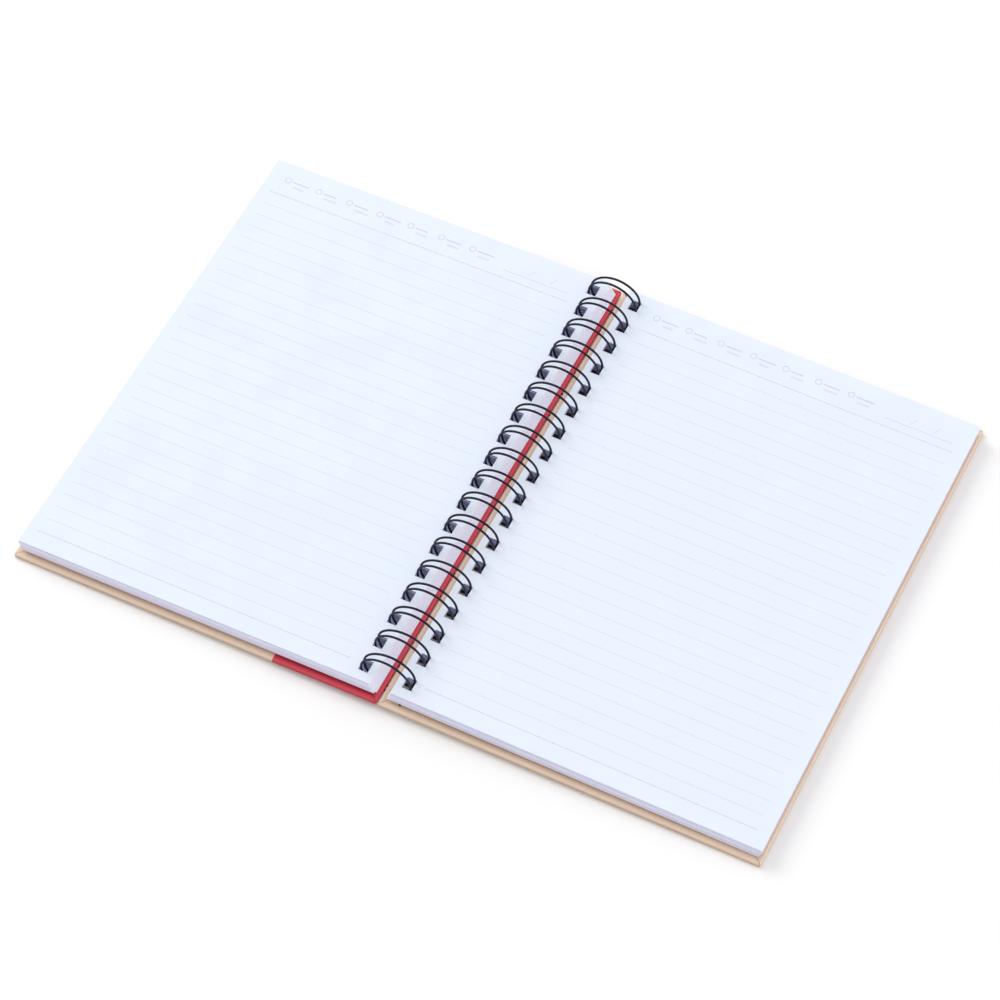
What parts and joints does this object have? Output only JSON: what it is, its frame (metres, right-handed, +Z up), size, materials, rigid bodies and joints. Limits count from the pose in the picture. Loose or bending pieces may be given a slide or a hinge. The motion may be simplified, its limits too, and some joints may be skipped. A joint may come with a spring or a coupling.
{
  "type": "wire-bound notebook",
  "caption": "Hardcover notebook bound with a twin-loop wire, lying open flat with its ruled pages stacked on both covers; the front half and the page block each turn about the wire.",
  "frame": {"origin": "on the surface it lies on, under the wire's axis, half way along the spine", "axes": "+X from the spine out over the back cover, +Y along the spine to the head of the pages, +Z up"},
  "size_m": [0.338, 0.2362, 0.0223],
  "materials": {
    "kraft_board": "matt, uncoated kraft paper over board",
    "red_cloth": "fine book cloth, matt",
    "page_paper": "uncoated white paper",
    "coated_wire": "nylon-coated steel wire, near-black navy, satin"
  },
  "bodies": {
    "back_half": {"back_cover": "kraft_board", "wire_binding": "coated_wire"},
    "front_half": {"front_cover": "kraft_board", "spine_band": "red_cloth", "left_pages": "page_paper"},
    "right_page_block": {"right_pages": "page_paper"}
  },
  "joints": [
    {"name": "front_half_turn", "type": "hinge", "parent": "back_half", "child": "front_half", "pos_m": [0, 0, 0.01114], "axis": [0, 1, 0], "range_deg": [0, 181.6]},
    {"name": "right_pages_turn", "type": "hinge", "parent": "back_half", "child": "right_page_block", "pos_m": [0, 0, 0.01114], "axis": [0, 1, 0], "range_deg": [-181.6, 0]}
  ]
}
